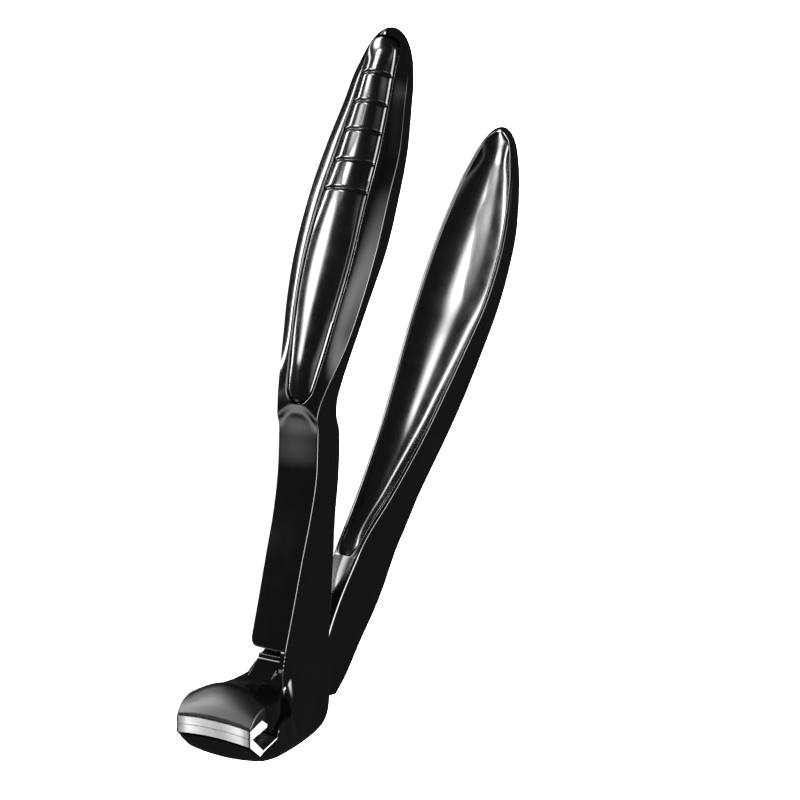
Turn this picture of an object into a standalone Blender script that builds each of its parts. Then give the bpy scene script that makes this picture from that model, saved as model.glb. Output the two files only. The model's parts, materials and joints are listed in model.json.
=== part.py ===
"""Plier-type nail clipper lying on its far side.

+X runs from the cutting edge back towards the lever, +Y runs up along the handles and
+Z is across the jaws. Outlines are written in millimetres from the middle of the upper
blade's front edge, and the finished clipper is moved so that the middle of its bottom is
the origin.
"""

import math

import bmesh
import bpy
from mathutils import Vector

MM = 0.001

# Driving dimensions, in millimetres
PIVOT = (14.5, 3.5)
HUB_RADIUS = 3.3
PIN_RADIUS = 1.25
PIN_HEAD_RADIUS = 1.9
RUNNING_FIT = 0.05
SEAT_GAP = 0.06
JAW_HALF_WIDTH = 7.0
NECK_HALF_WIDTH = 3.35
CHANNEL_HALF_WIDTH = 2.5
TONGUE_HALF_WIDTH = 2.2
TENON_HALF_WIDTH = 1.15
FRONT_WALL = 1.2
FRONT_WALL_END = 8.6
CHANNEL_FLOOR = -1.5
CHANNEL_TOP = 37.0
STOP_PIN = (13.3, 8.7)
STOP_PIN_RADIUS = 0.9
WASHER_RADIUS = 2.6
WASHER_THICKNESS = 0.2
SCREW_HEIGHTS = (25.5, 31.0)
SCREW_RADIUS = 0.8
SCREW_HEAD_RADIUS = 1.3
SCREW_LENGTH = 3.0
GROOVE_HEIGHTS = (82.2, 78.5, 74.9, 71.0, 67.4)
GROOVE_RADIUS = 0.3

# Handle sections: height, front edge, half width, front crown, edge thickness, back bulge
HANDLE_SECTIONS = [
    (8.6, 10.25, 3.35, 0.15, 7.7, 0.15),
    (14.9, 11.9, 3.4, 0.15, 6.5, 0.15),
    (20.1, 13.2, 3.45, 0.15, 5.5, 0.15),
    (25.4, 14.6, 3.53, 0.15, 4.4, 0.15),
    (30.7, 15.6, 3.67, 0.15, 3.9, 0.15),
    (36.1, 15.9, 3.67, 0.15, 3.8, 0.15),
    (39.0, 16.0, 3.8, 0.2, 3.4, 0.5),
    (41.4, 16.5, 4.25, 0.3, 2.7, 1.0),
    (47.6, 18.35, 5.85, 0.7, 1.2, 2.0),
    (53.9, 20.3, 6.95, 0.95, 1.0, 2.6),
    (60.2, 22.4, 7.3, 0.9, 1.45, 2.8),
    (67.2, 24.95, 7.1, 0.7, 1.55, 2.6),
    (72.8, 27.35, 6.7, 0.6, 1.2, 2.2),
    (79.1, 29.6, 5.35, 0.5, 1.1, 1.8),
    (82.0, 30.7, 4.85, 0.45, 1.0, 1.5),
    (84.5, 31.4, 4.15, 0.4, 0.9, 1.2),
    (86.5, 31.8, 3.25, 0.3, 0.8, 0.9),
    (88.0, 32.1, 2.0, 0.2, 0.5, 0.5),
    (88.6, 32.2, 1.0, 0.1, 0.3, 0.3),
]

# Grip inlay sections: height, half width
INLAY_SECTIONS = [
    (40.6, 0.7),
    (42.4, 2.0),
    (48.0, 3.1),
    (57.7, 4.1),
    (67.4, 3.9),
    (71.8, 3.7),
    (78.8, 3.2),
    (83.9, 2.4),
    (86.2, 1.2),
]
INLAY_DEPTH = 0.9
INLAY_CROWN = 0.55

# Lever sections: height, front edge, half width, front crown, edge thickness, back bulge
LEVER_SECTIONS = [
    (1.2, 18.2, 2.2, 0.1, 1.5, 0.2),
    (3.5, 18.0, 2.2, 0.1, 3.6, 0.2),
    (7.3, 18.1, 2.2, 0.1, 5.9, 0.2),
    (12.8, 20.4, 2.2, 0.1, 7.3, 0.2),
    (19.2, 24.2, 2.3, 0.1, 6.7, 0.4),
    (22.0, 26.1, 2.5, 0.1, 6.4, 0.6),
    (26.3, 29.5, 3.2, 0.15, 5.0, 1.0),
    (33.5, 34.4, 4.25, 0.2, 4.0, 1.6),
    (38.7, 37.5, 4.95, 0.3, 3.6, 2.0),
    (46.2, 41.7, 6.0, 0.4, 2.8, 2.2),
    (50.8, 44.3, 6.5, 0.45, 2.1, 2.2),
    (55.4, 46.7, 6.6, 0.5, 1.6, 2.2),
    (59.6, 48.4, 6.25, 0.5, 1.6, 2.1),
    (63.5, 49.8, 5.5, 0.4, 1.4, 1.8),
    (66.6, 51.0, 4.8, 0.3, 0.9, 1.5),
    (70.2, 52.3, 3.7, 0.2, 0.6, 1.0),
    (72.3, 52.9, 2.5, 0.15, 0.4, 0.6),
    (73.5, 53.2, 1.2, 0.1, 0.3, 0.3),
]

# Dish inlay sections: height, half width
DISH_SECTIONS = [
    (19.1, 0.6),
    (21.5, 1.7),
    (27.7, 2.7),
    (33.5, 3.7),
    (40.3, 4.6),
    (49.0, 5.75),
    (55.4, 6.0),
    (61.6, 5.35),
    (66.4, 4.2),
    (69.9, 3.0),
    (71.8, 1.4),
]
DISH_DEPTH = 1.1

# Upper jaw sections: distance back, underside, side top, middle top, half width
UPPER_JAW_SECTIONS = [
    (0.15, 0.22, 0.6, 0.7, 6.95),
    (0.8, 0.58, 1.6, 2.2, 6.97),
    (1.6, 1.0, 2.2, 3.45, 7.0),
    (2.4, 1.28, 2.5, 4.2, 7.0),
    (3.25, 0.72, 2.6, 4.55, 7.0),
    (3.3, 0.15, 2.62, 4.57, 7.0),
    (4.85, -1.45, 2.8, 4.65, 6.95),
    (5.5, -0.05, 2.9, 4.66, 6.85),
    (7.0, 0.65, 3.55, 4.8, 6.1),
    (8.0, 1.1, 4.25, 5.05, 4.9),
    (8.8, 1.45, 4.95, 5.27, 3.65),
]

# Lower jaw and heel sections: distance back, underside, top, half width at foot and at top
LOWER_JAW_SECTIONS = [
    (0.15, -2.8, -2.42, 7.0, 7.0),
    (1.0, -3.6, -3.05, 7.0, 7.0),
    (2.0, -4.35, -3.86, 7.0, 7.0),
    (2.5, -4.4, -3.9, 7.0, 7.0),
    (2.55, -4.4, -2.95, 7.0, 7.0),
    (4.85, -4.3, -1.65, 7.0, 7.0),
    (5.5, -4.25, -0.25, 6.95, 6.85),
    (7.0, -4.1, 0.45, 6.6, 6.2),
    (9.4, -3.8, 1.3, 6.0, 5.4),
    (9.6, -3.75, 4.6, 5.95, 3.4),
    (11.0, -3.55, 5.2, 5.5, 3.35),
    (13.0, -3.2, 5.5, 4.9, 3.35),
    (15.0, -2.7, 5.5, 4.3, 3.35),
    (16.6, -1.9, 5.5, 3.9, 3.35),
    (17.5, -0.8, 5.5, 3.6, 3.35),
    (17.9, 0.8, 5.5, 3.4, 3.35),
]

UPPER_BLADE = [(0.0, 0.0), (2.2, 1.2), (3.1, 0.55), (3.0, 0.15), (0.35, -0.98), (0.0, -0.98)]
LOWER_BLADE = [(0.0, -1.13), (0.35, -1.13), (2.4, -2.9), (2.3, -3.85), (0.0, -2.15)]
STEM = [(6.0, 1.3), (6.0, 4.4), (12.2, 5.2), (12.2, 7.0), (14.5, 6.8), (17.2, 5.3), (17.6, 2.6),
        (14.5, 0.2), (11.5, 1.6), (9.2, 1.75)]
TENON = [(15.5, 2.2), (19.3, 3.4), (26.0, 12.8), (33.8, 25.5), (38.4, 33.5), (36.4, 33.5),
         (31.0, 25.5), (22.3, 12.8), (17.5, 6.0), (15.5, 5.6)]
NEAR_PLATE = [(9.5, 3.0), (9.5, 4.8), (9.7, 6.2), (10.5, 9.8), (10.9, 11.2), (17.9, 11.2),
              (17.9, 3.0)]
FAR_PLATE = [(9.5, 3.0), (9.4, 5.4), (13.2, 8.3), (12.4, 10.2), (12.4, 11.2), (17.9, 11.2),
             (17.9, 3.0)]

RING_STEPS = 10
TOP_STEPS = 8
ROUND_STEPS = 32
SMOOTH_STEPS = 2


def new_material(name, color, roughness, metallic):
    material = bpy.data.materials.new(name)
    material.use_nodes = True
    shader = material.node_tree.nodes["Principled BSDF"]
    shader.inputs["Base Color"].default_value = (*color, 1.0)
    shader.inputs["Roughness"].default_value = roughness
    shader.inputs["Metallic"].default_value = metallic
    return material


def new_object(name, points, faces, material=None):
    """Make a mesh object from points in millimetres, with every face turned outward."""
    mesh = bpy.data.meshes.new(name)
    mesh.from_pydata([Vector(point) * MM for point in points], [], faces)
    bm = bmesh.new()
    bm.from_mesh(mesh)
    bmesh.ops.recalc_face_normals(bm, faces=bm.faces)
    bm.to_mesh(mesh)
    bm.free()
    mesh.shade_smooth()
    mesh.set_sharp_from_angle(angle=math.radians(35))
    if material:
        mesh.materials.append(material)
    made = bpy.data.objects.new(name, mesh)
    bpy.context.scene.collection.objects.link(made)
    return made


def loft(name, rings, material=None):
    """Join rings of equal length into one closed body with flat ends."""
    count = len(rings[0])
    points = [point for ring in rings for point in ring]
    faces = [tuple(range(count)), tuple(range(len(points) - count, len(points)))]
    for row in range(len(rings) - 1):
        for step in range(count):
            ahead = (step + 1) % count
            low = row * count
            high = low + count
            faces.append((low + step, low + ahead, high + ahead, high + step))
    return new_object(name, points, faces, material)


def prism(name, outline, low, high, material=None):
    """Extrude a side-view outline across the clipper, from z = low to z = high."""
    rings = [[(x, y, z) for x, y in outline] for z in (low, high)]
    return loft(name, rings, material)


def grow_outline(outline, distance):
    """Move every corner of an anticlockwise outline outward along both of its edges' normals."""
    grown = []
    for before, corner, after in zip(outline[-1:] + outline, outline, outline[1:] + outline[:1]):
        into = Vector((corner[0] - before[0], corner[1] - before[1])).normalized()
        out = Vector((after[0] - corner[0], after[1] - corner[1])).normalized()
        normal = (Vector((into.y, -into.x)) + Vector((out.y, -out.x))).normalized()
        stretch = distance / normal.dot(Vector((into.y, -into.x)))
        grown.append((corner[0] + normal.x * stretch, corner[1] + normal.y * stretch))
    return grown


def disc(name, centre, radius, low, high, material=None):
    turn = math.tau / ROUND_STEPS
    outline = [(centre[0] + radius * math.cos(turn * i), centre[1] + radius * math.sin(turn * i))
               for i in range(ROUND_STEPS)]
    return prism(name, outline, low, high, material)


def smooth_rows(rows):
    """Put extra rows on a smooth curve through the given rows."""
    result = []
    for i in range(len(rows) - 1):
        before = rows[max(i - 1, 0)]
        start = rows[i]
        end = rows[i + 1]
        after = rows[min(i + 2, len(rows) - 1)]
        for step in range(SMOOTH_STEPS):
            t = step / SMOOTH_STEPS
            result.append(tuple(
                0.5 * (2 * b + (c - a) * t + (2 * a - 5 * b + 4 * c - d) * t ** 2
                       + (3 * b - a - 3 * c + d) * t ** 3)
                for a, b, c, d in zip(before, start, end, after)))
    result.append(tuple(rows[-1]))
    return result


def read_rows(rows, height):
    """Read every column of a section list at one height."""
    for low, high in zip(rows, rows[1:]):
        if height <= high[0]:
            t = (height - low[0]) / (high[0] - low[0])
            return [a + (b - a) * t for a, b in zip(low, high)]
    return list(rows[-1])


def grip_ring(height, front, half_width, crown, edge, bulge):
    """One section of a handle: crowned front, straight edge, rounded back."""
    ring = []
    for i in range(RING_STEPS + 1):
        angle = math.pi * (i / RING_STEPS - 0.5)
        ring.append((front - crown * math.cos(angle), height, half_width * math.sin(angle)))
    for i in range(RING_STEPS + 1):
        angle = math.pi * (0.5 - i / RING_STEPS)
        ring.append((front + edge + bulge * math.cos(angle), height,
                     half_width * math.sin(angle)))
    return ring


def cut(target, cutter, operation="DIFFERENCE"):
    """Cut the target with a helper body, or join the helper to it."""
    modifier = target.modifiers.new(cutter.name, "BOOLEAN")
    modifier.operation = operation
    modifier.object = cutter
    cutter.display_type = "WIRE"
    cutter.hide_render = True


def inlay_rings(sections, body_sections, grow, proud, depth, crown):
    """Sections of an inlay that follows the front of the handle it sits in."""
    rings = []
    for height, half_width in smooth_rows(sections):
        _, front, _, body_crown, _, _ = read_rows(body_sections, height)
        floor = front - body_crown + depth
        rings.append(grip_ring(height, front - body_crown - proud + crown, half_width + grow,
                               crown, floor - (front - body_crown - proud + crown), 0.02))
    return rings


def make_handle_frame(material):
    """Front handle, channel, heel and lower jaw in one forging."""
    rings = [grip_ring(*row) for row in smooth_rows(HANDLE_SECTIONS)]
    frame = loft("handle_frame", rings, material)
    cut(frame, prism("near_plate", NEAR_PLATE, CHANNEL_HALF_WIDTH - 0.5, NECK_HALF_WIDTH - 0.02),
        "UNION")
    cut(frame, prism("far_plate", FAR_PLATE, -NECK_HALF_WIDTH + 0.02, -CHANNEL_HALF_WIDTH + 0.5),
        "UNION")
    cut(frame, loft("jaw_and_heel", [lower_jaw_ring(*row) for row in LOWER_JAW_SECTIONS]), "UNION")
    cut(frame, make_channel_cutter())
    cut(frame, loft("grip_pocket", inlay_rings(INLAY_SECTIONS, HANDLE_SECTIONS, 0.35, 1.5,
                                               INLAY_DEPTH + SEAT_GAP, INLAY_CROWN)))
    reach = NECK_HALF_WIDTH + 3.0
    cut(frame, disc("pin_hole", PIVOT, PIN_RADIUS + RUNNING_FIT, -reach, NECK_HALF_WIDTH - 0.3))
    cut(frame, disc("pin_head_seat", PIVOT, PIN_HEAD_RADIUS + RUNNING_FIT, -reach,
                    -NECK_HALF_WIDTH + 0.3))
    cut(frame, disc("stop_hole", STOP_PIN, STOP_PIN_RADIUS + RUNNING_FIT,
                    -NECK_HALF_WIDTH + 0.35, NECK_HALF_WIDTH - 0.35))
    return frame


def lower_jaw_ring(x, foot, top, foot_width, top_width):
    """A section across the lower jaw or the heel, with rounded lower corners."""
    corner = min(0.9, 0.3 * (top - foot))
    middle = 0.5 * (foot + top)
    waist = top_width + 0.35 * (foot_width - top_width)
    half = [(foot_width - corner, foot), (foot_width - 0.3 * corner, foot + 0.3 * corner),
            (foot_width, foot + corner), (waist, middle), (top_width, top)]
    right = [(x, y, z) for z, y in half]
    left = [(x, y, -z) for z, y in reversed(half)]
    return right + left


def make_channel_cutter():
    """The slot that the lever and the jaw's stem move in, open at the back."""
    outline = [(9.0, 2.0), (9.0, FRONT_WALL_END - 0.3)]
    for height in (FRONT_WALL_END, 14.9, 20.1, 25.4, 30.7, CHANNEL_TOP - 2.0):
        front = read_rows(HANDLE_SECTIONS, height)[1]
        outline.append((front + FRONT_WALL, height))
    outline += [(18.5, CHANNEL_TOP), (30.0, CHANNEL_TOP), (30.0, CHANNEL_FLOOR),
                (12.0, CHANNEL_FLOOR), (10.5, 1.0)]
    return prism("channel", outline, -CHANNEL_HALF_WIDTH, CHANNEL_HALF_WIDTH)


def make_grip_inlay(material):
    inlay = loft("grip_inlay", inlay_rings(INLAY_SECTIONS, HANDLE_SECTIONS, 0.0, 0.35,
                                           INLAY_DEPTH, INLAY_CROWN), material)
    for number, height in enumerate(GROOVE_HEIGHTS, 1):
        _, front, _, crown, _, _ = read_rows(HANDLE_SECTIONS, height)
        groove = disc(f"groove_{number}", (front - crown - 0.4, height), GROOVE_RADIUS, -6.0, 6.0)
        cut(inlay, groove)
    return inlay


def upper_jaw_ring(x, foot, side_top, middle_top, half_width):
    """A section across the upper jaw: flat underside and crowned top."""
    ring = [(x, foot, -half_width), (x, foot, half_width)]
    for i in range(TOP_STEPS + 1):
        z = half_width * (1 - 2 * i / TOP_STEPS)
        rise = math.cos(0.5 * math.pi * z / half_width)
        ring.append((x, side_top + (middle_top - side_top) * rise, z))
    return ring


def make_jaw_lever(material):
    """Upper jaw, stem, hub and the tenon that carries the lever handle."""
    lever = loft("jaw_lever", [upper_jaw_ring(*row) for row in UPPER_JAW_SECTIONS], material)
    cut(lever, prism("stem", STEM, -TONGUE_HALF_WIDTH, TONGUE_HALF_WIDTH), "UNION")
    cut(lever, disc("hub", PIVOT, HUB_RADIUS, -TONGUE_HALF_WIDTH - 0.01, TONGUE_HALF_WIDTH + 0.01),
        "UNION")
    cut(lever, prism("tenon", TENON, -TENON_HALF_WIDTH, TENON_HALF_WIDTH), "UNION")
    cut(lever, disc("hub_bore", PIVOT, PIN_RADIUS + RUNNING_FIT, -8.0, 8.0))
    for number, height in enumerate(SCREW_HEIGHTS, 1):
        cut(lever, screw_body(f"tenon_hole_{number}", height, RUNNING_FIT))
    return lever


def screw_body(name, height, grow, material=None):
    """A countersunk screw, square to the floor of the dish pocket."""
    _, front, _, crown, _, _ = read_rows(LEVER_SECTIONS, height)
    _, front_above, _, crown_above, _, _ = read_rows(LEVER_SECTIONS, height + 1.0)
    into = Vector((1.0, front - crown - front_above + crown_above, 0.0)).normalized()
    upward = Vector((-into.y, into.x, 0.0))
    across = Vector((0.0, 0.0, 1.0))
    start = Vector((front - crown + DISH_DEPTH, height, 0.0))
    rings = []
    for depth, radius in ((0.1 - 1.5 * grow, SCREW_HEAD_RADIUS), (1.0, SCREW_RADIUS),
                          (SCREW_LENGTH + grow, SCREW_RADIUS)):
        turns = [math.tau * i / 16 for i in range(16)]
        rings.append([start + into * depth + (upward * math.cos(t) + across * math.sin(t))
                      * (radius + grow) for t in turns])
    return loft(name, rings, material)


def make_lever_handle(material):
    rings = [grip_ring(*row) for row in smooth_rows(LEVER_SECTIONS)]
    handle = loft("lever_handle", rings, material)
    side = TENON_HALF_WIDTH + SEAT_GAP
    cut(handle, prism("tenon_slot", grow_outline(TENON, 2 * SEAT_GAP), -side, side))
    cut(handle, loft("dish_pocket", inlay_rings(DISH_SECTIONS, LEVER_SECTIONS, 0.1, 1.5,
                                                DISH_DEPTH, 0.3)))
    for number, height in enumerate(SCREW_HEIGHTS, 1):
        cut(handle, screw_body(f"handle_hole_{number}", height, RUNNING_FIT))
    return handle


def make_lever_inlay(material):
    """Dished cover that lines the front of the lever handle."""
    return loft("lever_inlay", inlay_rings(DISH_SECTIONS, LEVER_SECTIONS, 0.0, -0.1,
                                           DISH_DEPTH - SEAT_GAP, 0.15), material)


def make_pivot_pin(material):
    pin = disc("pivot_pin", PIVOT, PIN_RADIUS, -NECK_HALF_WIDTH + 0.1, NECK_HALF_WIDTH - 0.4,
               material)
    head = disc("pin_head", PIVOT, PIN_HEAD_RADIUS, -NECK_HALF_WIDTH - 0.05,
                -NECK_HALF_WIDTH + 0.25)
    cut(pin, head, "UNION")
    return pin


def make_washer(name, side, material):
    inner = TONGUE_HALF_WIDTH + 0.01 + RUNNING_FIT * 0.5
    low, high = sorted((side * inner, side * (inner + WASHER_THICKNESS)))
    washer = disc(name, PIVOT, WASHER_RADIUS, low, high, material)
    cut(washer, disc(f"{name}_bore", PIVOT, PIN_RADIUS + RUNNING_FIT, low - 1, high + 1))
    return washer


def stand_on_origin():
    """Parent every piece to one empty that puts the middle of the bottom at the origin."""
    bpy.context.view_layer.update()
    pieces = [o for o in bpy.context.scene.objects if o.type == "MESH"]
    corners = [o.matrix_world @ Vector(c) for o in pieces if not o.hide_render
               for c in o.bound_box]
    low = Vector([min(c[axis] for c in corners) for axis in range(3)])
    high = Vector([max(c[axis] for c in corners) for axis in range(3)])
    root = bpy.data.objects.new("clipper_root", None)
    bpy.context.scene.collection.objects.link(root)
    root.location = (-(low.x + high.x) / 2, -(low.y + high.y) / 2, -low.z)
    for piece in pieces:
        piece.parent = root
    bpy.context.view_layer.update()


def main():
    for old in list(bpy.data.objects):
        bpy.data.objects.remove(old, do_unlink=True)
    lacquer = new_material("gloss_black_lacquer", (0.012, 0.012, 0.013), 0.12, 0.0)
    steel = new_material("brushed_blade_steel", (0.72, 0.72, 0.72), 0.28, 1.0)
    dark_steel = new_material("dark_pin_steel", (0.08, 0.08, 0.085), 0.3, 1.0)
    inlay = new_material("gloss_black_inlay", (0.015, 0.015, 0.016), 0.06, 0.0)
    half = JAW_HALF_WIDTH
    make_handle_frame(lacquer)
    make_grip_inlay(inlay)
    prism("lower_blade", LOWER_BLADE, -half, half, steel)
    make_pivot_pin(dark_steel)
    make_washer("near_washer", 1, dark_steel)
    make_washer("far_washer", -1, dark_steel)
    disc("stop_pin", STOP_PIN, STOP_PIN_RADIUS, -NECK_HALF_WIDTH + 0.4, NECK_HALF_WIDTH - 0.4,
         dark_steel)
    make_jaw_lever(lacquer)
    prism("upper_blade", UPPER_BLADE, -half, half, steel)
    make_lever_handle(lacquer)
    make_lever_inlay(inlay)
    screw_body("lower_tenon_screw", SCREW_HEIGHTS[0], 0.0, dark_steel)
    screw_body("upper_tenon_screw", SCREW_HEIGHTS[1], 0.0, dark_steel)
    stand_on_origin()


main()
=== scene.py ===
"""Looks of a plier-type nail clipper lying on its far side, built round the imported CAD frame.

Outlines are in millimetres in the clipper's drawing frame: the origin is the middle of the
upper blade's front edge, +X runs back towards the lever, +Y up along the handles and +Z
across the jaws. to_row() moves them into the frame's metres, by way of the pivot.
"""

import json
import math

import bmesh
import bpy
from mathutils import Matrix, Vector


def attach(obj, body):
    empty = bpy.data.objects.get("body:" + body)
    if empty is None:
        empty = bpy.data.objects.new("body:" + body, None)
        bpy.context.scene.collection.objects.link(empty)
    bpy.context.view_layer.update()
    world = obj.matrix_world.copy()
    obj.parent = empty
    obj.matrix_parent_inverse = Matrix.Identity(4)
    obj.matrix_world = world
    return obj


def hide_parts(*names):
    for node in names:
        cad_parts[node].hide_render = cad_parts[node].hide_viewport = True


MM = 0.001
PIVOT = Vector((14.5, 3.5, 0.0))
JAW_HALF_WIDTH = 7.0
BLADE_ARCH = 0.42

# Handle sections: height, front edge, half width, front crown, edge thickness, back bulge
HANDLE_SECTIONS = [
    (8.6, 10.25, 3.35, 0.15, 7.7, 0.15),
    (14.9, 11.9, 3.4, 0.15, 6.5, 0.15),
    (20.1, 13.2, 3.45, 0.15, 5.5, 0.15),
    (25.4, 14.6, 3.53, 0.15, 4.4, 0.15),
    (30.7, 15.6, 3.67, 0.15, 3.9, 0.15),
    (36.1, 15.9, 3.67, 0.15, 3.8, 0.15),
    (39.0, 16.0, 3.8, 0.2, 3.4, 0.5),
    (41.4, 16.5, 4.25, 0.3, 2.7, 1.0),
    (47.6, 18.35, 5.85, 0.7, 1.2, 2.0),
    (53.9, 20.3, 6.95, 0.95, 1.0, 2.6),
    (60.2, 22.4, 7.45, 0.9, 1.45, 2.8),
    (67.2, 24.95, 7.25, 0.7, 1.55, 2.6),
    (72.8, 27.35, 6.8, 0.6, 1.2, 2.2),
    (79.1, 29.65, 5.5, 0.5, 1.1, 1.8),
    (82.0, 30.6, 5.1, 0.45, 1.0, 1.6),
    (84.5, 31.4, 4.9, 0.4, 0.95, 1.4),
    (88.8, 32.3, 5.0, 0.3, 0.9, 1.2),
]
HANDLE_ROUND = 80.0
HANDLE_TIP = 88.3
HANDLE_SHIFT = -0.65

# Grip inlay sections: height, half width
INLAY_SECTIONS = [
    (40.6, 1.6),
    (42.4, 2.2),
    (48.0, 3.1),
    (57.7, 4.1),
    (67.4, 3.9),
    (71.8, 3.65),
    (78.8, 3.1),
    (83.9, 2.65),
    (87.0, 2.35),
]
INLAY_BOTTOM = 40.4
INLAY_TOP = 87.2
INLAY_END_RADIUS = 1.8
GROOVE_HEIGHTS = (82.2, 78.5, 74.9, 71.0, 67.4)

# Lever sections: height, front edge, half width, front crown, edge thickness, back bulge
LEVER_SECTIONS = [
    (1.2, 18.2, 2.2, 0.1, 1.5, 0.2),
    (3.5, 18.0, 2.2, 0.1, 3.6, 0.2),
    (7.3, 18.1, 2.2, 0.1, 5.9, 0.2),
    (12.8, 20.4, 2.2, 0.1, 7.3, 0.2),
    (19.2, 24.2, 2.3, 0.1, 6.7, 0.4),
    (22.0, 26.1, 2.5, 0.1, 6.4, 0.6),
    (26.3, 29.5, 3.2, 0.15, 5.0, 1.0),
    (33.5, 34.4, 4.25, 0.2, 4.0, 1.6),
    (38.7, 37.5, 4.95, 0.3, 3.6, 2.0),
    (46.2, 41.7, 5.95, 0.4, 2.8, 2.2),
    (50.8, 44.25, 6.45, 0.45, 2.2, 2.2),
    (55.4, 46.5, 6.5, 0.5, 1.8, 2.2),
    (59.6, 48.35, 6.15, 0.5, 1.6, 2.1),
    (63.5, 49.85, 5.45, 0.4, 1.3, 1.8),
    (66.6, 51.0, 4.75, 0.3, 1.0, 1.5),
    (69.2, 51.9, 4.2, 0.25, 0.9, 1.3),
    (71.7, 52.7, 4.0, 0.2, 0.8, 1.1),
    (73.6, 53.2, 3.9, 0.2, 0.7, 0.9),
]
LEVER_ROUND = 66.0
LEVER_TIP = 73.6


def to_row(point):
    """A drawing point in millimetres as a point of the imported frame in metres."""
    return pivot_row + (Vector(point) - PIVOT) * MM


def read_rows(rows, height):
    """Every column of a section list at one height, on a smooth curve through the rows."""
    last = len(rows) - 1
    if height <= rows[0][0]:
        return list(rows[0])
    if height >= rows[last][0]:
        return list(rows[last])
    i = next(k for k in range(last) if height <= rows[k + 1][0])
    low, high = rows[i], rows[i + 1]
    span = high[0] - low[0]
    t = (height - low[0]) / span
    values = []
    for column in range(len(low)):
        slope_low = _slope(rows, i, column) * span
        slope_high = _slope(rows, i + 1, column) * span
        values.append((2 * t ** 3 - 3 * t ** 2 + 1) * low[column]
                      + (t ** 3 - 2 * t ** 2 + t) * slope_low
                      + (3 * t ** 2 - 2 * t ** 3) * high[column]
                      + (t ** 3 - t ** 2) * slope_high)
    return values


def _slope(rows, i, column):
    """Slope of one column at a row, from the rows on both sides of it."""
    before = rows[max(i - 1, 0)]
    after = rows[min(i + 1, len(rows) - 1)]
    return (after[column] - before[column]) / (after[0] - before[0])


def smooth_step(low, high, value):
    t = min(max((value - low) / (high - low), 0.0), 1.0)
    return t * t * (3 - 2 * t)


def spread(low, high, count):
    return [low + (high - low) * i / (count - 1) for i in range(count)]


def round_corner(before, corner, after, radius, steps):
    """Points of an arc that rounds one corner of an outline."""
    corner = Vector(corner)
    into = Vector(before) - corner
    out = Vector(after) - corner
    reach = min(radius, 0.45 * into.length, 0.45 * out.length)
    if reach < 1e-5:
        return [tuple(corner)] * (steps + 1)
    start = corner + into.normalized() * reach
    end = corner + out.normalized() * reach
    points = []
    for i in range(steps + 1):
        t = i / steps
        points.append(tuple(start * (1 - t) ** 2 + corner * 2 * t * (1 - t) + end * t ** 2))
    return points


def finish_mesh(name, bm, material, sharp_angle=40):
    """Clean a bmesh and turn it into a shaded object, still in drawing millimetres."""
    bmesh.ops.remove_doubles(bm, verts=bm.verts, dist=0.002)
    bmesh.ops.dissolve_degenerate(bm, edges=bm.edges, dist=0.001)
    bmesh.ops.recalc_face_normals(bm, faces=bm.faces)
    mesh = bpy.data.meshes.new(name)
    bm.to_mesh(mesh)
    bm.free()
    mesh.shade_smooth()
    mesh.set_sharp_from_angle(angle=math.radians(sharp_angle))
    mesh.materials.append(material)
    piece = bpy.data.objects.new(name, mesh)
    bpy.context.scene.collection.objects.link(piece)
    return piece


def place(piece, body, slot, *nodes):
    """Move a finished piece from the drawing to the frame and say what it rides on."""
    for vertex in piece.data.vertices:
        vertex.co = to_row(vertex.co)
    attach(piece, body)
    if nodes:
        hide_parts(*nodes)


def melt_together(name, bodies, material):
    """Join overlapping bodies into one skin whose edges and inner corners are all rounded."""
    joined = bmesh.new()
    for body in bodies:
        bmesh.ops.recalc_face_normals(body, faces=body.faces)
        part = bpy.data.meshes.new("part")
        body.to_mesh(part)
        body.free()
        joined.from_mesh(part)
        bpy.data.meshes.remove(part)
    mesh = bpy.data.meshes.new(name)
    joined.to_mesh(mesh)
    joined.free()
    mesh.materials.append(material)
    piece = bpy.data.objects.new(name, mesh)
    bpy.context.scene.collection.objects.link(piece)
    remesh = piece.modifiers.new("skin", "REMESH")
    remesh.mode = "VOXEL"
    remesh.voxel_size = HEAD_VOXEL
    smooth = piece.modifiers.new("soften", "SMOOTH")
    smooth.factor = 0.5
    smooth.iterations = HEAD_SMOOTHING
    apply_modifiers(piece)
    piece.data.shade_smooth()
    return piece


def prism(outline, low, high):
    """A bmesh of a side-view outline carried across the clipper."""
    return loft_rings([[(x, y, z) for x, y in outline] for z in (low, high)])


def loft_rings(rings):
    """A bmesh of closed rings joined in order, with fans over both ends."""
    bm = bmesh.new()
    rows = [[bm.verts.new(point) for point in ring] for ring in rings]
    for low, high in zip(rows, rows[1:]):
        for i in range(len(low)):
            ahead = (i + 1) % len(low)
            bm.faces.new((low[i], low[ahead], high[ahead], high[i]))
    for row in (rows[0], rows[-1]):
        bm.faces.new(row)
    return bm


def apply_modifiers(piece):
    """Replace a piece's mesh with what its modifiers make of it."""
    bpy.context.view_layer.update()
    graph = bpy.context.evaluated_depsgraph_get()
    mesh = bpy.data.meshes.new_from_object(piece.evaluated_get(graph))
    piece.modifiers.clear()
    piece.data = mesh
    return piece


def cut_away(piece, cutter):
    modifier = piece.modifiers.new("cut", "BOOLEAN")
    modifier.operation = "DIFFERENCE"
    modifier.object = cutter
    apply_modifiers(piece)
    bpy.data.objects.remove(cutter, do_unlink=True)
    piece.data.set_sharp_from_angle(angle=math.radians(40))


def tip_scale(height, start, tip):
    """1 up to the start of a rounded tip, then falling to 0 along a quarter of an ellipse."""
    share = min(max((height - start) / (tip - start), 0.0), 1.0)
    return math.sqrt(1 - share * share)


def tip_heights(start, tip, count):
    return [start + (tip - start) * math.sin(0.5 * math.pi * i / count) for i in range(count)]


# ---------------------------------------------------------------- front handle

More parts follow.
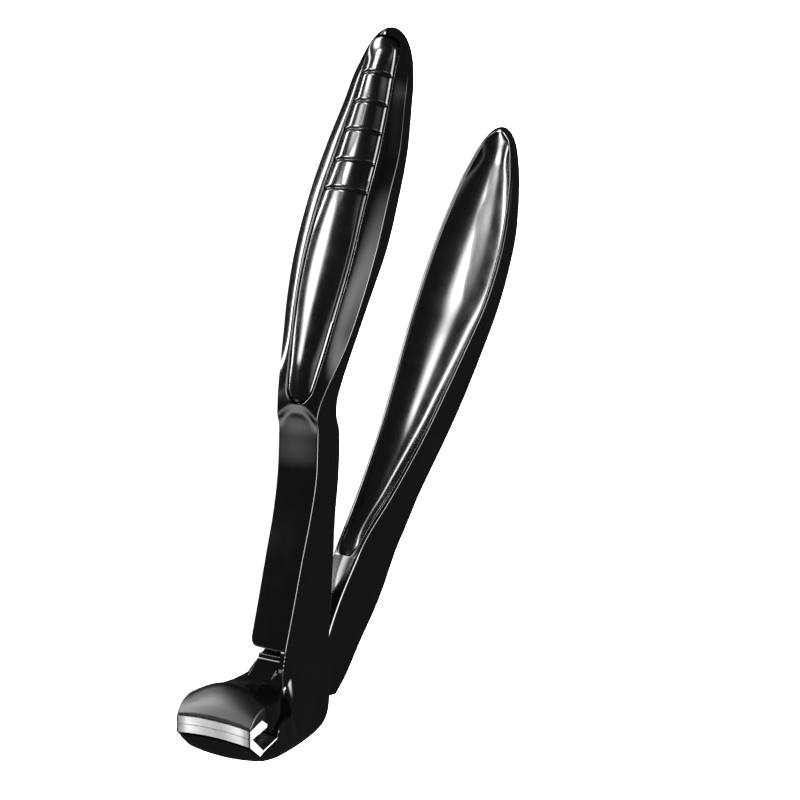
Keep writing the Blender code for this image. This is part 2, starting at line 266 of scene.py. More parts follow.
# The neck's front is scooped by SCOOP_DEPTH below an arch whose top is at SCOOP_TOP
SCOOP_TOP = 39.8
SCOOP_ARCH = 2.2
SCOOP_DEPTH = 0.3
FLANK_DROP = 0.75
POCKET_DEPTH = 1.1
POCKET_GAP = 0.28
RIM_RADIUS = 0.26
CREASE_RADIUS = 0.45
FRONT_WALL_END = 8.5
WALL_CORNER = 1.25
FRONT_WALL = 1.0
EDGE_ROUND = 0.4
INLAY_CROWN = 0.62
INLAY_THICKNESS = 0.95
GROOVE_ARCH = 0.5
GROOVE_WIDTH = 0.16
GROOVE_DEPTH = 0.22
INLAY_EDGE = 0.25


def pocket_half_width(height, gap=0.0):
    """Half width of the inlay's outline at a height, with round ends; below 0 outside it."""
    bottom = INLAY_BOTTOM - gap
    top = INLAY_TOP + gap
    if not bottom <= height <= top:
        return -1.0
    half = read_rows(INLAY_SECTIONS, height)[1] + gap
    for distance in (height - bottom, top - height):
        if distance < INLAY_END_RADIUS:
            part = 1 - distance / INLAY_END_RADIUS
            half *= math.sqrt(max(1 - part * part, 0.0))
    return half


def front_face(height, z):
    """How far back the front handle's face lies at a height and a place across it."""
    _, front, half_width, crown, _, _ = read_rows(HANDLE_SECTIONS, height)
    share = min(abs(z) / half_width, 1.0)
    scoop_edge = SCOOP_TOP - SCOOP_ARCH * share * share
    scoop = SCOOP_DEPTH * smooth_step(scoop_edge + 0.9, scoop_edge - 0.9, height)
    drop = FLANK_DROP * smooth_step(39, 50, height)
    return front - crown + HANDLE_SHIFT + (crown + drop) * share ** 2 + scoop


def outer_half(section, face, side_x, half_width, across, along, radius):
    """Half a section's outline from its face round the side to the middle of its back."""
    half = list(section)
    half += round_corner(face[-1], (face[-1][0] + face_step(face), half_width),
                         (side_x, half_width), radius, 6)
    half += [(side_x, half_width)]
    for i in range(1, 15):
        turn = 0.5 * math.pi * i / 14
        half.append((side_x + along * math.sin(turn),
                     half_width - across + across * math.cos(turn)))
    half.append((side_x + along, 0.0))
    return half


def face_step(face):
    """How far the face falls away between its last point and the corner."""
    return (face[-1][0] - face[-2][0]) * 0.8


def mirror_ring(half, height, far_share=1.0):
    """A whole section from its near half, the far half narrowed by a share."""
    near = [(x, height, z) for x, z in half]
    far = [(x, height, -z * far_share) for x, z in reversed(half[:-1])]
    return near + far[:-1]


def handle_ring(height):
    """One closed section of the front handle, from the near side round to the far side."""
    scale = tip_scale(height, HANDLE_ROUND, HANDLE_TIP)
    _, _, full_width, _, edge, bulge = read_rows(HANDLE_SECTIONS, height)
    half_width, edge, bulge = full_width * scale, edge * scale, bulge * scale
    grip = smooth_step(37.5, 45.0, height)
    pocket = pocket_half_width(height, POCKET_GAP)
    depth = POCKET_DEPTH if pocket > 0 else 0.0
    pocket = min(max(pocket, 0.0), 0.8 * half_width)

    def face_at(z):
        return front_face(height, z / max(scale, 0.05)) + 0.7 * (1 - scale)

    rim = (face_at(pocket), pocket)
    floor_x = rim[0] + depth
    flank = [(face_at(z), z) for z in spread(pocket, half_width, 13)[2:-1]]
    section = [(floor_x, z) for z in spread(0.0, pocket, 5)]
    section += round_corner((floor_x, pocket), rim, flank[0], RIM_RADIUS, 5)
    section += flank[1:-1]
    side_x = face_at(half_width) + edge
    across = EDGE_ROUND + (half_width - EDGE_ROUND) * grip
    along = EDGE_ROUND + (bulge - EDGE_ROUND) * grip
    half = outer_half(section, flank, side_x, half_width, across, along, CREASE_RADIUS)
    corner = WALL_CORNER - min(height - FRONT_WALL_END, WALL_CORNER)
    cut_in = WALL_CORNER - math.sqrt(WALL_CORNER ** 2 - corner ** 2)
    return mirror_ring(half, height, 1 - cut_in / full_width)


def round_end_heights(end, reach, count, first=0):
    """Heights that gather towards a round end; a negative reach runs down from a top end."""
    return [end + reach * (1 - math.cos(0.5 * math.pi * i / count))
            for i in range(first, count + 1)]


def make_front_handle(material):
    heights = spread(FRONT_WALL_END, FRONT_WALL_END + WALL_CORNER, 12)
    heights += spread(10.2, 38.0, 40) + spread(38.2, 41.0, 24)
    low = INLAY_BOTTOM - POCKET_GAP
    top = INLAY_TOP + POCKET_GAP
    heights += [low - 0.001, top + 0.001]
    heights += round_end_heights(low, INLAY_END_RADIUS, 12)
    heights += round_end_heights(top, -INLAY_END_RADIUS, 12)
    heights += spread(42.2, 79.9, 100)
    heights += tip_heights(HANDLE_ROUND, HANDLE_TIP, 60)
    heights = sorted(set(round(h, 4) for h in heights))
    bm = loft_rings([handle_ring(h) for h in heights])
    handle = finish_mesh("front_handle", bm, material)
    cut_away(handle, make_channel(material))
    return handle


def make_channel(material):
    """The slot in the neck, open at the back, as a cutting body."""
    outline = [(9.0, 2.0), (9.0, 8.3)]
    for height in (8.6, 14.9, 20.1, 25.4, 30.7, 35.0):
        outline.append((read_rows(HANDLE_SECTIONS, height)[1] + FRONT_WALL, height))
    outline += [(18.5, 37.0), (30.0, 37.0), (30.0, -1.5), (12.0, -1.5), (10.5, 1.0)]
    rings = [[(x, y, z) for x, y in outline] for z in (-2.5, 2.5)]
    return finish_mesh("channel", loft_rings(rings), material)


def make_grip_inlay(material):
    """Crowned strip in the front handle's pocket, crossed by five arched grooves."""
    heights = spread(42.2, 65.8, 50) + spread(65.8, 85.8, 290)
    heights += round_end_heights(INLAY_BOTTOM, INLAY_END_RADIUS, 14, 1)
    heights += round_end_heights(INLAY_TOP, -INLAY_END_RADIUS, 14, 1)
    rings = [inlay_ring(h) for h in sorted(set(round(h, 4) for h in heights))]
    return finish_mesh("grip_strip", loft_rings(rings), material)


def inlay_ring(height):
    half = pocket_half_width(height)
    end = min(height - INLAY_BOTTOM, INLAY_TOP - height)
    crown = INLAY_CROWN * math.sqrt(min(end / 5.0, 1.0))
    groove = sum(math.exp(-((height - g) / GROOVE_WIDTH) ** 2) for g in GROOVE_HEIGHTS)
    arch = GROOVE_ARCH * smooth_step(60, 66, height) * smooth_step(86.5, 83, height)
    floor = front_face(height, half) + INLAY_THICKNESS
    face = []
    for z in spread(-half, half, 33):
        share = z / half
        y = height + arch * (1 - share * share)
        past = max(abs(z) - half + INLAY_EDGE, 0.0) / INLAY_EDGE
        edge = 1 - math.sqrt(max(1 - past ** 2, 0.0))
        x = front_face(height, half) - 0.02 - crown * (1 - share ** 2) + 0.2 * edge
        face.append((x + GROOVE_DEPTH * groove, y, z))
    return face + [(floor, height, z) for z in (half, 0.0, -half)]


# ---------------------------------------------------------------- rear handle

DISH_BOTTOM = 19.0
DISH_TOP = 72.9
DISH_LIP = 0.68
DISH_GAP = 0.05
DISH_DEPTH = 0.75
DISH_END_RADIUS = 2.2
DISH_TIP_ROUND = 1.0
DISH_POCKET_DEPTH = 1.5
DISH_LINER_DEPTH = 1.45
LIP_ROUND = 0.45


def dish_half_width(height, grow=0.0):
    """Half width of the rear handle's dish at a height; below 0 outside it."""
    bottom = DISH_BOTTOM - grow
    top = DISH_TOP + grow
    if not bottom <= height <= top:
        return -1.0
    full = read_rows(LEVER_SECTIONS, height)[2] * tip_scale(height, LEVER_ROUND, LEVER_TIP)
    half = full - DISH_LIP + grow - 0.25 * smooth_step(34, 22, height)
    if height - bottom < DISH_END_RADIUS:
        part = 1 - (height - bottom) / DISH_END_RADIUS
        half *= math.sqrt(max(1 - part * part, 0.0))
    if top - height < DISH_TIP_ROUND:
        half *= math.sqrt(max(top - height, 0.0) / DISH_TIP_ROUND)
    return max(half, 0.02)


def lever_face(height):
    """Distance back of the rear handle's lip at a height."""
    _, front, _, crown, _, _ = read_rows(LEVER_SECTIONS, height)
    drop = 0.6 * (1 - tip_scale(height, LEVER_ROUND, LEVER_TIP))
    return front - crown * smooth_step(20.0, 26.0, height) + drop


def lever_ring(height):
    """One closed section of the rear handle, with the pocket for its dish."""
    scale = tip_scale(height, LEVER_ROUND, LEVER_TIP)
    _, _, half_width, _, edge, bulge = read_rows(LEVER_SECTIONS, height)
    half_width, edge, bulge = half_width * scale, edge * scale, bulge * scale
    grip = smooth_step(20.0, 34.0, height)
    dish = dish_half_width(height, DISH_GAP)
    depth = DISH_POCKET_DEPTH if dish > 0 else 0.0
    dish = min(max(dish, 0.0), 0.9 * half_width)
    face = lever_face(height)
    floor_x = face + depth * min(1.0, 2.0 * scale)
    section = [(floor_x, z) for z in spread(0.0, dish, 9)]
    lip = half_width - dish
    section += round_corner((floor_x, dish), (face, dish), (face, half_width), 0.4 * lip, 6)
    flat = [(face, dish + 0.5 * lip), (face + 0.02, dish + 0.56 * lip)]
    section += flat
    side_x = face + 0.3 + edge
    across = EDGE_ROUND + (half_width - EDGE_ROUND) * grip
    along = EDGE_ROUND + (bulge - EDGE_ROUND) * grip
    half = outer_half(section, flat, side_x, half_width, across, along, LIP_ROUND)
    return mirror_ring(half, height)


def make_rear_handle(material):
    low = DISH_BOTTOM - DISH_GAP
    top = DISH_TOP + DISH_GAP
    heights = spread(1.2, 18.8, 36) + spread(21.4, 65.9, 110) + [low - 0.001, top + 0.001]
    heights += round_end_heights(low, DISH_END_RADIUS, 12)
    heights += round_end_heights(top, -DISH_TIP_ROUND, 12)
    heights += tip_heights(LEVER_ROUND, LEVER_TIP, 60)
    bm = loft_rings([lever_ring(h) for h in sorted(set(round(h, 4) for h in heights))])
    return finish_mesh("rear_handle", bm, material)


def dish_ring(height):
    half = dish_half_width(height)
    face = lever_face(height)
    end = min(height - DISH_BOTTOM, 1.6 * (DISH_TOP - height))
    depth = DISH_DEPTH * smooth_step(-1.0, 7.0, end)
    points = []
    for z in spread(-half, half, 41):
        share = z / half
        bowl = depth * (1 - share ** 2)
        points.append((face + 0.05 + bowl, height, z))
    points += [(face + DISH_LINER_DEPTH, height, z) for z in (half, 0.0, -half)]
    return points


def make_dish(material):
    heights = spread(21.4, 69.6, 120)
    heights += round_end_heights(DISH_BOTTOM, DISH_END_RADIUS, 14, 1)
    heights += round_end_heights(DISH_TOP, -3.2, 20, 1)
    bm = loft_rings([dish_ring(h) for h in sorted(set(round(h, 4) for h in heights))])
    return finish_mesh("dish_liner", bm, material)


# ---------------------------------------------------------------- jaws

# Upper jaw sections: distance back, underside, side top, middle top, half width
UPPER_JAW_SECTIONS = [
    (0.12, -0.9, 0.35, 0.5, 6.95),
    (0.8, -0.9, 1.5, 2.0, 7.0),
    (1.6, -0.9, 2.25, 3.3, 7.0),
    (2.4, -0.9, 2.7, 4.15, 7.0),
    (3.2, -0.9, 2.9, 4.5, 6.95),
    (4.3, -1.0, 3.0, 4.3, 6.8),
    (5.5, -0.05, 3.15, 4.15, 6.5),
    (7.0, 0.65, 3.6, 4.3, 5.6),
    (8.2, 1.2, 4.3, 4.8, 4.3),
    (9.4, 1.7, 5.3, 5.6, 3.0),
    (10.4, 1.9, 6.3, 6.5, 2.2),
]

# Lower jaw and heel sections: distance back, underside, top, half width at foot and at top
LOWER_JAW_SECTIONS = [
    (0.12, -2.25, -1.3, 6.95, 7.0),
    (1.0, -3.3, -1.3, 7.0, 7.0),
    (2.0, -4.1, -1.3, 7.0, 7.0),
    (3.2, -4.35, -1.4, 7.0, 7.0),
    (4.85, -4.3, -1.65, 7.0, 7.0),
    (5.5, -4.25, -0.3, 6.95, 6.85),
    (7.0, -4.1, 0.4, 6.6, 6.2),
    (9.2, -3.85, 1.2, 6.0, 5.3),
    (9.9, -3.75, 4.0, 5.8, 3.4),
    (11.0, -3.55, 5.2, 5.5, 3.33),
    (13.0, -3.2, 5.5, 4.9, 3.33),
    (15.0, -2.7, 5.5, 4.3, 3.33),
    (16.6, -1.9, 5.5, 3.9, 3.33),
    (17.5, -0.8, 5.5, 3.6, 3.33),
    (17.9, 0.8, 5.5, 3.4, 3.33),
]
UPPER_BLADE = [(0.0, 0.0), (2.2, 1.2), (3.1, 0.55), (3.0, 0.15), (0.35, -1.04), (0.0, -1.04)]
LOWER_BLADE = [(0.0, -1.07), (0.35, -1.07), (2.4, -2.82), (4.85, -1.5), (4.88, -1.62),
               (2.4, -3.05), (1.9, -3.5), (0.0, -2.15)]
UPPER_HOLLOW = [(-0.3, -0.04), (2.22, 1.3), (3.2, 0.6), (3.1, 0.2), (4.9, -1.35), (4.9, -2.5),
                (-0.3, -2.5)]
LOWER_HOLLOW = [(-0.3, -0.5), (4.0, -0.5), (4.95, -1.45), (4.95, -1.68), (2.45, -3.12),
                (1.9, -3.6), (-0.3, -2.12)]
NEAR_PLATE = [(9.5, 2.6), (9.4, 4.8), (9.45, 6.2), (9.85, 8.2), (10.4, 9.2), (10.9, 11.2),
              (17.85, 11.2), (17.85, 2.6)]
FAR_PLATE = [(9.6, 2.6), (9.5, 5.2), (13.2, 8.3), (12.4, 10.2), (12.4, 11.2), (17.85, 11.2),
             (17.85, 2.6)]
STEM = [(7.6, 1.6), (7.6, 4.35), (8.3, 4.95), (10.2, 6.95), (10.35, 7.6), (10.9, 7.6),
        (12.2, 6.7), (14.5, 6.6), (17.2, 5.3), (17.6, 2.6), (14.5, 0.2), (11.5, 1.6), (9.2, 1.75)]
CHANNEL_HALF_WIDTH = 2.5
TONGUE_HALF_WIDTH = 2.2
HUB_RADIUS = 3.3
PLATE_HALF_WIDTH = 3.33
PLATE_INNER = 1.2
FOOT_BULGE = 0.6
BLADE_BOW = 0.1
BLADE_CORNER = 0.03
HEAD_VOXEL = 0.11
HEAD_SMOOTHING = 5


def arch_lift(x, z):
    """How far the middle of the jaws stands above their ends, fading out behind the hollow."""
    return BLADE_ARCH * (1 - (z / JAW_HALF_WIDTH) ** 2) * smooth_step(9.0, 3.5, x)


def jaw_ring(x, foot, foot_width, side_top, middle_top, top_width):
    """A section across a jaw: arched foot, upright sides and crowned top."""
    corner = min(0.8, 0.3 * (side_top - foot))
    ring = []
    for z in spread(-foot_width + corner, foot_width - corner, 17):
        share = z / foot_width
        behind = smooth_step(0.0, 2.0, x)
        drop = FOOT_BULGE * behind * (1 - share * share)
        ring.append((x, foot + arch_lift(x, z) * (1 - behind) - drop, z))
    ring.append((x, foot + 0.3 * corner, foot_width - 0.3 * corner))
    ring.append((x, foot + corner, foot_width))
    for z in reversed(spread(-top_width, top_width, 25)):
        rise = math.cos(0.5 * math.pi * z / top_width)
        top = side_top + (middle_top - side_top) * rise
        ring.append((x, top + arch_lift(x, z), z))
    ring.append((x, foot + corner, -foot_width))
    ring.append((x, foot + 0.3 * corner, -foot_width + 0.3 * corner))
    return ring


def jaw_hollow(outline):
    """A cutting body for a blade's seat and the hollow behind it, arched as the jaws are."""
    rings = []
    for z in spread(-8.0, 8.0, 33):
        inside = max(min(z, JAW_HALF_WIDTH), -JAW_HALF_WIDTH)
        rings.append([(x, y + arch_lift(x, inside), z) for x, y in outline])
    return loft_rings(rings)


def make_blade(name, outline, material, end_material, under_material):
    """A blade insert carried across the jaws along their arch: bright front, matt ends and a
    blackened bevel underneath."""
    corners = []
    for before, corner, after in zip(outline[-1:] + outline, outline, outline[1:] + outline[:1]):
        corners += round_corner(before, corner, after, BLADE_CORNER, 2)
    rings = []
    for z in spread(-JAW_HALF_WIDTH, JAW_HALF_WIDTH, 57):
        inset = 0.04 if abs(z) > JAW_HALF_WIDTH - 0.01 else 0.0
        bow = BLADE_BOW * (z / JAW_HALF_WIDTH) ** 2
        rings.append([(x + (inset + bow) * (x < 1.0), y + arch_lift(x, z), z)
                      for x, y in corners])
    blade = finish_mesh(name, loft_rings(rings), material, 10)
    blade.data.materials.append(end_material)
    blade.data.materials.append(under_material)
    for polygon in blade.data.polygons:
        if abs(polygon.normal.z) > 0.9:
            polygon.material_index = 1
        elif polygon.normal.y < -0.5 and polygon.normal.x < -0.2:
            polygon.material_index = 2
    return blade



def make_frame_head(material):
    """Lower jaw, heel and the two plates of the channel."""
    rings = []
    for x in spread(LOWER_JAW_SECTIONS[0][0], LOWER_JAW_SECTIONS[-1][0], 90):
        _, foot, top, foot_width, top_width = read_rows(LOWER_JAW_SECTIONS, x)
        rings.append(jaw_ring(x, foot, foot_width, top, top, top_width))
    head = melt_together("frame_head", [
        loft_rings(rings), prism(NEAR_PLATE, PLATE_INNER, PLATE_HALF_WIDTH),
        prism(FAR_PLATE, -PLATE_HALF_WIDTH, -PLATE_INNER)], material)
    channel = [(10.5, 1.0), (9.0, 2.2), (9.0, 14.0), (30.0, 14.0), (30.0, -1.5), (12.0, -1.5)]
    cut_away(head, finish_mesh("channel", prism(
        channel, -CHANNEL_HALF_WIDTH, CHANNEL_HALF_WIDTH), material))
    cut_away(head, finish_mesh("hollow", jaw_hollow(LOWER_HOLLOW), material))
    return head


def make_upper_jaw(material):
    """Upper jaw with its ground front face, scooped neck, stem and hub."""
    rings = []
    for x in spread(UPPER_JAW_SECTIONS[0][0], UPPER_JAW_SECTIONS[-1][0], 80):
        _, foot, side_top, middle_top, width = read_rows(UPPER_JAW_SECTIONS, x)
        rings.append(jaw_ring(x, foot, width, side_top, middle_top, width))
    turns = [math.tau * i / 48 for i in range(48)]
    hub = [(PIVOT.x + HUB_RADIUS * math.cos(t), PIVOT.y + HUB_RADIUS * math.sin(t))
           for t in turns]
    jaw = melt_together("upper_jaw", [
        loft_rings(rings), prism(STEM, -TONGUE_HALF_WIDTH, TONGUE_HALF_WIDTH),
        prism(hub, -TONGUE_HALF_WIDTH, TONGUE_HALF_WIDTH)], material)
    cut_away(jaw, finish_mesh("hollow", jaw_hollow(UPPER_HOLLOW), material))
    return jaw


# ---------------------------------------------------------------- materials

# The upper jaw is satin in front of its crest and glossy behind it
CREST_START = 2.6
CREST_END = 3.0
SATIN_ROUGHNESS = 0.36
GLOSS_ROUGHNESS = 0.1

# Painted highlights and shade on the ground band across the jaws, standing in for its
# reflections: place from far end to near end, painted brightness
BAND_PAINTED_LIGHT = [(0.0, 0.16), (0.06, 0.45), (0.16, 1.0), (0.42, 0.62), (0.6, 0.55), (0.86, 1.0),
               (0.95, 0.5), (1.0, 0.2)]


def new_material(name):
    material = bpy.data.materials.new(name)
    material.use_nodes = True
    nodes = material.node_tree.nodes
    return material, nodes, material.node_tree.links, nodes["Principled BSDF"]


def position_node(nodes, links, scale=(1.0, 1.0, 1.0)):
    coordinates = nodes.new("ShaderNodeTexCoord")
    mapping = nodes.new("ShaderNodeMapping")
    mapping.inputs["Scale"].default_value = scale
    links.new(coordinates.outputs["Object"], mapping.inputs["Vector"])
    return mapping.outputs["Vector"]


def add_noise(nodes, links, vector, scale, detail=3.0):
    noise = nodes.new("ShaderNodeTexNoise")
    noise.inputs["Scale"].default_value = scale
    noise.inputs["Detail"].default_value = detail
    links.new(vector, noise.inputs["Vector"])
    return noise.outputs["Fac"]


def add_range(nodes, links, source, low, high, start=0.3, end=0.7):
    ranged = nodes.new("ShaderNodeMapRange")
    ranged.inputs["From Min"].default_value = start
    ranged.inputs["From Max"].default_value = end
    ranged.inputs["To Min"].default_value = low
    ranged.inputs["To Max"].default_value = high
    links.new(source, ranged.inputs["Value"])
    return ranged.outputs["Result"]


def add_bump(nodes, links, shader, height, strength, distance):
    bump = nodes.new("ShaderNodeBump")
    bump.inputs["Strength"].default_value = strength
    bump.inputs["Distance"].default_value = distance
    links.new(height, bump.inputs["Height"])
    links.new(bump.outputs["Normal"], shader.inputs["Normal"])


def add_tint(nodes, links, source, dark, light):
    ramp = nodes.new("ShaderNodeValToRGB")
    ramp.color_ramp.elements[0].color = (*dark, 1.0)
    ramp.color_ramp.elements[1].color = (*light, 1.0)
    links.new(source, ramp.inputs["Fac"])
    return ramp.outputs["Color"]


def gloss_lacquer(name, dark, light, low_rough, high_rough):
    """Black lacquer: faint cloudiness, wiped-on haze and the slightest orange peel."""
    material, nodes, links, shader = new_material(name)
    spot = position_node(nodes, links)
    cloud = add_noise(nodes, links, spot, 180.0)
    links.new(add_tint(nodes, links, cloud, dark, light), shader.inputs["Base Color"])
    haze = add_noise(nodes, links, spot, 420.0, 5.0)
    links.new(add_range(nodes, links, haze, low_rough, high_rough), shader.inputs["Roughness"])
    peel = add_noise(nodes, links, spot, 1400.0, 1.0)
    add_bump(nodes, links, shader, peel, 0.012, 0.00001)
    shader.inputs["IOR"].default_value = 1.5
    shader.inputs["Coat Weight"].default_value = 0.5
    shader.inputs["Coat Roughness"].default_value = 0.03
    return material


def jaw_lacquer(name, dark, light):
    """Black lacquer, ground to satin in front of the jaw's crest and glossy behind it."""
    material, nodes, links, shader = new_material(name)
    spot = position_node(nodes, links)
    cloud = add_noise(nodes, links, spot, 180.0)
    links.new(add_tint(nodes, links, cloud, dark, light), shader.inputs["Base Color"])
    parts = nodes.new("ShaderNodeSeparateXYZ")
    links.new(spot, parts.inputs["Vector"])
    crest = to_row((CREST_START, 0.0, 0.0)).x
    satin_end = to_row((CREST_END, 0.0, 0.0)).x
    links.new(add_range(nodes, links, parts.outputs["X"], SATIN_ROUGHNESS, GLOSS_ROUGHNESS,
                        crest, satin_end), shader.inputs["Roughness"])
    grain = add_noise(nodes, links, position_node(nodes, links, (6000.0, 6000.0, 200.0)), 1.0)
    add_bump(nodes, links, shader, grain, 0.02, 0.00001)
    shader.inputs["IOR"].default_value = 1.5
    return material


def brushed_steel(name, dark, light, low_rough, high_rough, painted_levels=()):
    """Ground steel with fine lines that run across the jaws, and painted highlights and shade
    along them if asked.
    """
    material, nodes, links, shader = new_material(name)
    spot = position_node(nodes, links, (9000.0, 9000.0, 60.0))
    lines = add_noise(nodes, links, spot, 1.0, 2.0)
    tint = add_tint(nodes, links, lines, dark, light)
    if painted_levels:
        tint = paint_light_across_jaws(nodes, links, tint, painted_levels)
    links.new(tint, shader.inputs["Base Color"])
    links.new(add_range(nodes, links, lines, low_rough, high_rough),
              shader.inputs["Roughness"])
    shader.inputs["Metallic"].default_value = 1.0
    add_bump(nodes, links, shader, lines, 0.1, 0.00001)
    return material


def paint_light_across_jaws(nodes, links, tint, painted_levels):
    """Paint highlights and shade onto a tint by darkening it with a list of levels that runs from
    the jaws' far end to their near end.
    """
    parts = nodes.new("ShaderNodeSeparateXYZ")
    links.new(position_node(nodes, links), parts.inputs["Vector"])
    far = to_row((0.0, 0.0, -JAW_HALF_WIDTH)).z
    near = to_row((0.0, 0.0, JAW_HALF_WIDTH)).z
    ramp = nodes.new("ShaderNodeValToRGB")
    ramp.color_ramp.interpolation = "EASE"
    for stop, painted_level in painted_levels[1:-1]:
        ramp.color_ramp.elements.new(stop).color = (painted_level, painted_level, painted_level, 1.0)
    for end in (0, -1):
        painted_level = painted_levels[end][1]
        ramp.color_ramp.elements[end].color = (painted_level, painted_level, painted_level, 1.0)
    links.new(add_range(nodes, links, parts.outputs["Z"], 0.0, 1.0, far, near),
              ramp.inputs["Fac"])
    blend = nodes.new("ShaderNodeMixRGB")
    blend.blend_type = "MULTIPLY"
    blend.inputs["Fac"].default_value = 1.0
    links.new(tint, blend.inputs["Color1"])
    links.new(ramp.outputs["Color"], blend.inputs["Color2"])
    return blend.outputs["Color"]


def ground_steel_end(name):
    """The matt ground ends of the blades."""
    material, nodes, links, shader = new_material(name)
    grit = add_noise(nodes, links, position_node(nodes, links), 9000.0)
    links.new(add_tint(nodes, links, grit, (0.5, 0.5, 0.5), (0.75, 0.75, 0.75)),
              shader.inputs["Base Color"])
    links.new(add_range(nodes, links, grit, 0.45, 0.6), shader.inputs["Roughness"])
    shader.inputs["Metallic"].default_value = 0.5
    return material


# ---------------------------------------------------------------- studio

LIGHT_AIM = Vector((22.0, 38.0, 0.0))

# Soft boxes: name, direction from the clipper, width, height, glow, distance
LIGHT_PANELS = [
    ("inlay_streak", (-0.52, 0.32, -0.79), 150.0, 150.0, 32.0, 400.0),
    ("dish_streak", (-0.542, 0.454, -0.707), 475.0, 450.0, 34.0, 1500.0),
    ("flank_streak", (-0.15, 0.22, -0.95), 45.0, 420.0, 20.0, 400.0),
    ("edge_strip", (-0.35, 0.10, 0.93), 600.0, 700.0, 24.0, 400.0),
    ("near_flank_card", (-0.90, 0.36, -0.05), 200.0, 280.0, 3.2, 400.0),
    ("band_card", (-0.683, -0.259, -0.683), 260.0, 170.0, 2.4, 400.0),
]
WORLD_GLOW = 0.045
FLOOR_GLOW = 1.25
CAMERA_AROUND = math.radians(45.0)
CAMERA_ABOVE = math.radians(9.0)
CAMERA_TARGET = (29.408, 39.723, 4.918)
CAMERA_DISTANCE = 0.7


def add_camera():
    """The view along the clipper's front near edge, a little above its cutting plane."""
    away = Vector((-math.cos(CAMERA_ABOVE) * math.cos(CAMERA_AROUND), math.sin(CAMERA_ABOVE),
                   math.cos(CAMERA_ABOVE) * math.sin(CAMERA_AROUND)))
    target = to_row(CAMERA_TARGET)
    data = bpy.data.cameras.new("camera")
    data.lens = 239.54
    data.sensor_width = 36.0
    data.clip_start = 0.01
    camera = bpy.data.objects.new("camera", data)
    bpy.context.scene.collection.objects.link(camera)
    side = Vector((0.0, 1.0, 0.0)).cross(away).normalized()
    up = away.cross(side)
    camera.matrix_world = matrix_from_axes(side, up, away, target + away * CAMERA_DISTANCE)
    bpy.context.scene.camera = camera


def matrix_from_axes(side, up, back, origin):
    turned = Matrix((side, up, back)).transposed().to_4x4()
    turned.translation = origin
    return turned


def light_towards(name, direction, width, height, glow, reach):
    """A soft box seen from the clipper in one direction, brightest in its middle."""
    material = bpy.data.materials.new(name)
    material.use_nodes = True
    nodes, links = material.node_tree.nodes, material.node_tree.links
    nodes.clear()
    coordinates = nodes.new("ShaderNodeTexCoord")
    parts = nodes.new("ShaderNodeSeparateXYZ")
    links.new(coordinates.outputs["Generated"], parts.inputs["Vector"])
    across = fade_from_middle(nodes, links, parts.outputs["X"], 1.0)
    along = fade_from_middle(nodes, links, parts.outputs["Y"], glow)
    both = nodes.new("ShaderNodeMath")
    both.operation = "MULTIPLY"
    links.new(across, both.inputs[0])
    links.new(along, both.inputs[1])
    emission = nodes.new("ShaderNodeEmission")
    links.new(both.outputs["Value"], emission.inputs["Strength"])
    output = nodes.new("ShaderNodeOutputMaterial")
    links.new(emission.outputs["Emission"], output.inputs["Surface"])
    bm = bmesh.new()
    bmesh.ops.create_grid(bm, x_segments=8, y_segments=8, size=0.5)
    for vertex in bm.verts:
        vertex.co.x *= width * MM
        vertex.co.y *= height * MM
    mesh = bpy.data.meshes.new(name)
    bm.to_mesh(mesh)
    bm.free()
    mesh.materials.append(material)
    panel = bpy.data.objects.new(name, mesh)
    bpy.context.scene.collection.objects.link(panel)
    back = Vector(direction).normalized()
    side = Vector((0.0, 1.0, 0.0)).cross(-back).normalized()
    panel.matrix_world = matrix_from_axes(side, (-back).cross(side), -back,
                                          to_row(LIGHT_AIM + back * reach))
    panel.visible_camera = False
    panel.visible_shadow = False


def fade_from_middle(nodes, links, share, peak):
    """The peak in the middle of a panel, falling smoothly to 0 at both edges."""
    offset = nodes.new("ShaderNodeMath")
    offset.operation = "SUBTRACT"
    offset.inputs[1].default_value = 0.5
    links.new(share, offset.inputs[0])
    distance = nodes.new("ShaderNodeMath")
    distance.operation = "ABSOLUTE"
    links.new(offset.outputs["Value"], distance.inputs[0])
    fade = nodes.new("ShaderNodeMapRange")
    fade.interpolation_type = "SMOOTHSTEP"
    fade.inputs["From Min"].default_value = 0.5
    fade.inputs["From Max"].default_value = 0.0
    fade.inputs["To Max"].default_value = peak
    links.new(distance.outputs["Value"], fade.inputs["Value"])
    return fade.outputs["Result"]


def add_floor():
    """Pale floor that glows a little, so that it stays even under soft light."""
    material, nodes, links, shader = new_material("studio_floor")
    spot = position_node(nodes, links)
    grain = add_noise(nodes, links, spot, 30.0)
    tint = add_tint(nodes, links, grain, (0.82, 0.82, 0.815), (0.84, 0.84, 0.835))
    links.new(tint, shader.inputs["Base Color"])
    links.new(tint, shader.inputs["Emission Color"])
    shader.inputs["Roughness"].default_value = 0.8
    shader.inputs["Emission Strength"].default_value = FLOOR_GLOW
    bm = bmesh.new()
    bmesh.ops.create_grid(bm, x_segments=4, y_segments=4, size=2.0)
    mesh = bpy.data.meshes.new("studio_floor")
    bm.to_mesh(mesh)
    bm.free()
    mesh.materials.append(material)
    floor = bpy.data.objects.new("studio_floor", mesh)
    floor.location.z = -0.0002
    bpy.context.scene.collection.objects.link(floor)
    floor.visible_glossy = False
    floor.visible_diffuse = False
    floor.visible_shadow = False


def light_studio():
    world = bpy.data.worlds.new("studio")
    bpy.context.scene.world = world
    world.use_nodes = True
    world.node_tree.nodes["Background"].inputs["Color"].default_value = (1.0, 1.0, 1.0, 1.0)
    world.node_tree.nodes["Background"].inputs["Strength"].default_value = WORLD_GLOW
    for panel in LIGHT_PANELS:
        light_towards(*panel)


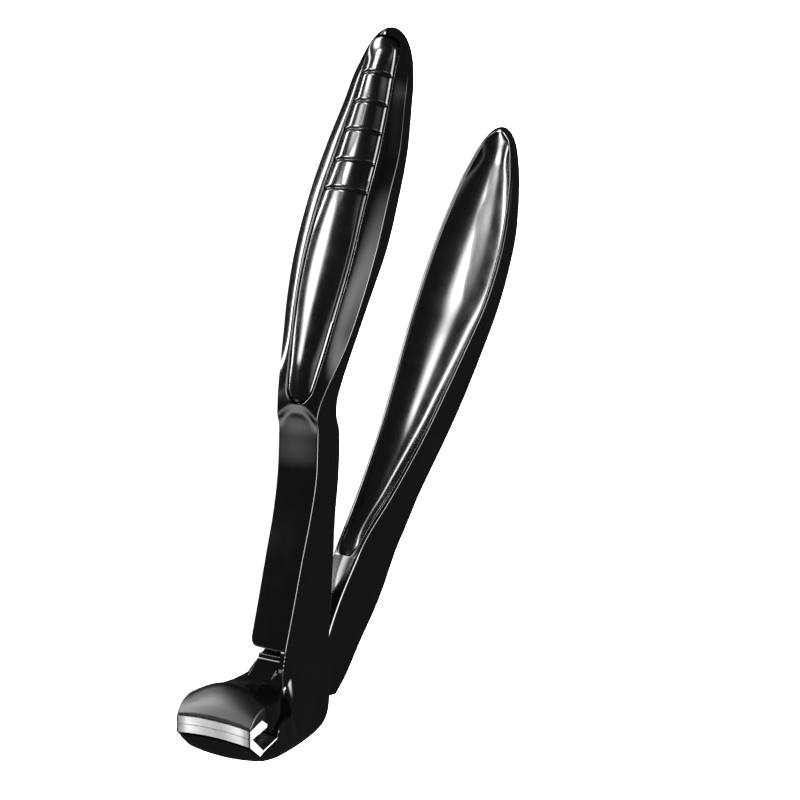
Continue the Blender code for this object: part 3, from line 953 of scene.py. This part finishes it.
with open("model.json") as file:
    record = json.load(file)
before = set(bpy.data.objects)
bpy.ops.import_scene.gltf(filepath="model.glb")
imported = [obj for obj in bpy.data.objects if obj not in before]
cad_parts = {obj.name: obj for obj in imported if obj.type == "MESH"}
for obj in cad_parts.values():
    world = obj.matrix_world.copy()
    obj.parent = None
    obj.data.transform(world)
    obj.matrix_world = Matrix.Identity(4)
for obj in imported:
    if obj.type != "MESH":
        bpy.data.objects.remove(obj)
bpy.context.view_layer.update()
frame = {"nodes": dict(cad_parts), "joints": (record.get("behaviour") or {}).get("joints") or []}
pivot_row = Vector(frame["joints"][0]["pos_m"])

lacquer = gloss_lacquer("black_lacquer", (0.0009, 0.0009, 0.001), (0.0018, 0.0018, 0.002),
                        0.08, 0.13)
inlay_gloss = gloss_lacquer("black_inlay", (0.001, 0.001, 0.001), (0.002, 0.002, 0.002),
                            0.11, 0.17)
satin = jaw_lacquer("satin_lacquer", (0.001, 0.001, 0.001), (0.002, 0.002, 0.002))
# The ground steel band gets painted highlights and shade across the jaws
steel = brushed_steel("ground_steel", (0.6, 0.6, 0.6), (0.95, 0.95, 0.95), 0.22, 0.34,
                      BAND_PAINTED_LIGHT)
dark_steel = brushed_steel("dark_steel", (0.05, 0.05, 0.052), (0.1, 0.1, 0.1), 0.25, 0.4)
ground_end = ground_steel_end("ground_end")

for node_name in ("pivot_pin", "near_washer", "far_washer", "stop_pin",
                  "lower_tenon_screw", "upper_tenon_screw"):
    node = frame["nodes"][node_name]
    node.data.materials.clear()
    node.data.materials.append(dark_steel)

place(make_front_handle(lacquer), "frame_body", "lacquer", "handle_frame")
place(make_frame_head(lacquer), "frame_body", "lacquer", "handle_frame")
place(make_grip_inlay(inlay_gloss), "frame_body", "inlay", "grip_inlay")
place(make_blade("lower_edge", LOWER_BLADE, steel, ground_end, lacquer),
      "frame_body", "blade_steel", "lower_blade")
place(make_upper_jaw(satin), "lever_body", "lacquer", "jaw_lever")
place(make_blade("upper_edge", UPPER_BLADE, steel, ground_end, lacquer),
      "lever_body", "blade_steel", "upper_blade")
place(make_rear_handle(lacquer), "lever_body", "lacquer", "lever_handle")
place(make_dish(inlay_gloss), "lever_body", "inlay", "lever_inlay")

add_floor()
light_studio()
add_camera()
bpy.context.scene.view_settings.view_transform = "Standard"
